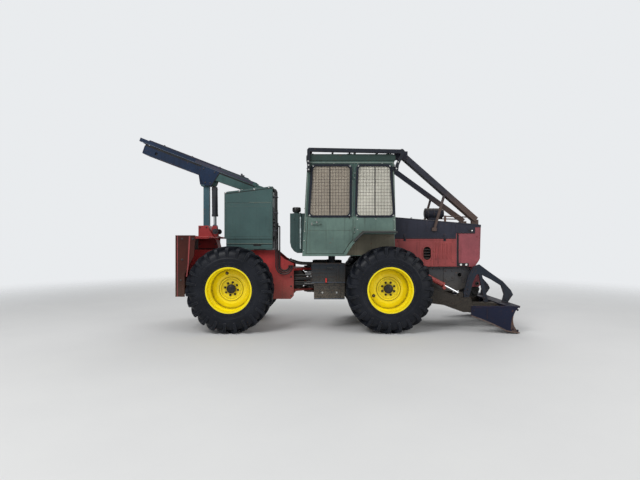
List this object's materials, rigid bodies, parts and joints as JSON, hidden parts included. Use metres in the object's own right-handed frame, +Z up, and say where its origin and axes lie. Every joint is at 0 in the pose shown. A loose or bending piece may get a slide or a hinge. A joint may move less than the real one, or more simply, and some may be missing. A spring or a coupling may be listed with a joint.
{
  "type": "articulated forestry skidder",
  "caption": "Articulated forestry skidder with a mesh-guarded cab, winch housing, rear boom on its rest post, log blade with horns, swinging doors and hydraulic cylinders.",
  "frame": {"origin": "on the ground under the middle of the machine's bounding box", "axes": "+X forward, +Y to the machine's left, +Z up"},
  "size_m": [6.839, 2.23, 3.5087],
  "materials": {
    "cab_paint": "faded green enamel",
    "dark_green_paint": "dark green enamel",
    "red_paint": "worn red enamel",
    "dark_steel": "dirty dark grey paint",
    "navy_paint": "worn blue-black paint",
    "rod_chrome": "hard chrome rod",
    "mesh_wire": "dark painted wire",
    "engine_grey": "oily casting",
    "seat_vinyl": "black vinyl",
    "black_plastic": "black plastic",
    "hose_rubber": "black hose",
    "tyre_rubber": "worn tyre rubber",
    "rim_yellow": "bright yellow enamel"
  },
  "bodies": {
    "front_body": {"front_frame": "dark_steel", "front_axle": "dark_steel", "driveshaft_front": "dark_steel", "engine": "engine_grey", "cab": "cab_paint", "cab_roof": "dark_green_paint", "roof_rack": "dark_steel", "rack_rails": "dark_steel", "cab_mesh": "mesh_wire", "seat": "seat_vinyl", "console": "black_plastic", "fenders": "dark_steel", "step_boxes": "dark_steel", "fuel_tank": "cab_paint", "hood": "dark_steel", "side_panels": "red_paint", "nose": "red_paint", "air_cleaner": "engine_grey", "hood_guard": "dark_steel"},
    "rear_body": {"rear_frame": "red_paint", "rear_axle": "dark_steel", "driveshaft_rear": "dark_steel", "winch_housing": "dark_green_paint", "rear_shield": "red_paint", "rear_shelf": "red_paint", "boom_post": "red_paint", "hoses": "hose_rubber"},
    "left_door": {"door_left": "cab_paint", "door_mesh_left": "mesh_wire"},
    "right_door": {"door_right": "cab_paint", "door_mesh_right": "mesh_wire"},
    "blade_body": {"push_arms": "dark_steel", "blade": "navy_paint", "log_horns": "navy_paint"},
    "boom_body": {"boom": "navy_paint"},
    "drum": {"winch_drum": "dark_steel"},
    "boom_cylinder": {"boom_barrel": "dark_steel"},
    "boom_piston": {"boom_rod": "rod_chrome"},
    "front_left_wheel": {"tyre_front_left": "tyre_rubber", "wheel_front_left": "rim_yellow"},
    "front_right_wheel": {"tyre_front_right": "tyre_rubber", "wheel_front_right": "rim_yellow"},
    "rear_left_wheel": {"tyre_rear_left": "tyre_rubber", "wheel_rear_left": "rim_yellow"},
    "rear_right_wheel": {"tyre_rear_right": "tyre_rubber", "wheel_rear_right": "rim_yellow"},
    "blade_left_cylinder": {"blade_barrel_left": "red_paint"},
    "blade_left_piston": {"blade_rod_left": "rod_chrome"},
    "steer_left_cylinder": {"steer_barrel_left": "dark_steel"},
    "steer_left_piston": {"steer_rod_left": "rod_chrome"},
    "blade_right_cylinder": {"blade_barrel_right": "red_paint"},
    "blade_right_piston": {"blade_rod_right": "rod_chrome"},
    "steer_right_cylinder": {"steer_barrel_right": "dark_steel"},
    "steer_right_piston": {"steer_rod_right": "rod_chrome"}
  },
  "joints": [
    {"name": "articulation", "type": "hinge", "parent": "front_body", "child": "rear_body", "pos_m": [-0.21948, 0, 0.85], "axis": [0, 0, 1], "range_deg": [-40, 40]},
    {"name": "front_left_roll", "type": "hinge", "parent": "front_body", "child": "front_left_wheel", "pos_m": [1.16053, 0.9, 0.7375], "axis": [0, 1, 0], "continuous": true},
    {"name": "front_right_roll", "type": "hinge", "parent": "front_body", "child": "front_right_wheel", "pos_m": [1.16053, -0.9, 0.7375], "axis": [0, 1, 0], "continuous": true},
    {"name": "rear_left_roll", "type": "hinge", "parent": "rear_body", "child": "rear_left_wheel", "pos_m": [-1.54947, 0.9, 0.7375], "axis": [0, 1, 0], "continuous": true},
    {"name": "rear_right_roll", "type": "hinge", "parent": "rear_body", "child": "rear_right_wheel", "pos_m": [-1.54947, -0.9, 0.7375], "axis": [0, 1, 0], "continuous": true},
    {"name": "door_left_swing", "type": "hinge", "parent": "front_body", "child": "left_door", "pos_m": [0.55953, 0.796, 2.23], "axis": [0, 0, -1], "range_deg": [0, 85]},
    {"name": "door_right_swing", "type": "hinge", "parent": "front_body", "child": "right_door", "pos_m": [0.55953, -0.796, 2.23], "axis": [0, 0, 1], "range_deg": [0, 85]},
    {"name": "blade_lift", "type": "hinge", "parent": "front_body", "child": "blade_body", "pos_m": [1.53052, 0, 0.78], "axis": [0, -1, 0], "range_deg": [0, 30]},
    {"name": "boom_lift", "type": "hinge", "parent": "rear_body", "child": "boom_body", "pos_m": [-1.12948, 0, 2.5], "axis": [0, 1, 0], "range_deg": [0, 25]},
    {"name": "winch_turn", "type": "hinge", "parent": "rear_body", "child": "drum", "pos_m": [-1.33947, 0, 1.165], "axis": [0, 1, 0], "continuous": true},
    {"name": "steer_left_tilt", "type": "hinge", "parent": "front_body", "child": "steer_left_cylinder", "pos_m": [0.38053, 0.2, 0.85], "axis": [0, 0, 1], "range_deg": [-4.78, 4.78]},
    {"name": "steer_left_stroke", "type": "slide", "parent": "steer_left_cylinder", "child": "steer_left_piston", "axis": [-0.9975, -0.0712, 0], "range_m": [-0.1079, 0.1079]},
    {"name": "blade_left_tilt", "type": "hinge", "parent": "front_body", "child": "blade_left_cylinder", "pos_m": [1.67053, 0.56, 1.05], "axis": [0, -1, 0], "range_deg": [-0.01, 32.8]},
    {"name": "blade_left_stroke", "type": "slide", "parent": "blade_left_cylinder", "child": "blade_left_piston", "axis": [0.8833, 0, -0.4689], "range_m": [-0.1578, 0.0001]},
    {"name": "steer_right_tilt", "type": "hinge", "parent": "front_body", "child": "steer_right_cylinder", "pos_m": [0.38053, -0.2, 0.85], "axis": [0, 0, 1], "range_deg": [-4.78, 4.78]},
    {"name": "steer_right_stroke", "type": "slide", "parent": "steer_right_cylinder", "child": "steer_right_piston", "axis": [-0.9975, 0.0712, 0], "range_m": [-0.1079, 0.1079]},
    {"name": "blade_right_tilt", "type": "hinge", "parent": "front_body", "child": "blade_right_cylinder", "pos_m": [1.67053, -0.56, 1.05], "axis": [0, -1, 0], "range_deg": [-0.01, 32.8]},
    {"name": "blade_right_stroke", "type": "slide", "parent": "blade_right_cylinder", "child": "blade_right_piston", "axis": [0.8833, 0, -0.4689], "range_m": [-0.1578, 0.0001]},
    {"name": "boom_tilt", "type": "hinge", "parent": "boom_body", "child": "boom_cylinder", "pos_m": [-2.02762, 0, 2.64884], "axis": [0, -1, 0], "range_deg": [-0.01, 18.56]},
    {"name": "boom_stroke", "type": "slide", "parent": "boom_cylinder", "child": "boom_piston", "axis": [0.0099, 0, -1], "range_m": [-0.0001, 0.3863]}
  ],
  "couplings": [
    {"joint": "steer_left_tilt", "follows": "articulation", "ratio": 0.11692},
    {"joint": "steer_left_stroke", "follows": "articulation", "m_per_rad": 0.15132},
    {"joint": "blade_left_tilt", "follows": "blade_lift", "ratio": 1.0716},
    {"joint": "blade_left_stroke", "follows": "blade_lift", "m_per_rad": -0.29527},
    {"joint": "steer_right_tilt", "follows": "articulation", "ratio": 0.11692},
    {"joint": "steer_right_stroke", "follows": "articulation", "m_per_rad": -0.15132},
    {"joint": "blade_right_tilt", "follows": "blade_lift", "ratio": 1.0716},
    {"joint": "blade_right_stroke", "follows": "blade_lift", "m_per_rad": -0.29527},
    {"joint": "boom_tilt", "follows": "boom_lift", "ratio": 0.7278},
    {"joint": "boom_stroke", "follows": "boom_lift", "m_per_rad": 0.86771}
  ]
}
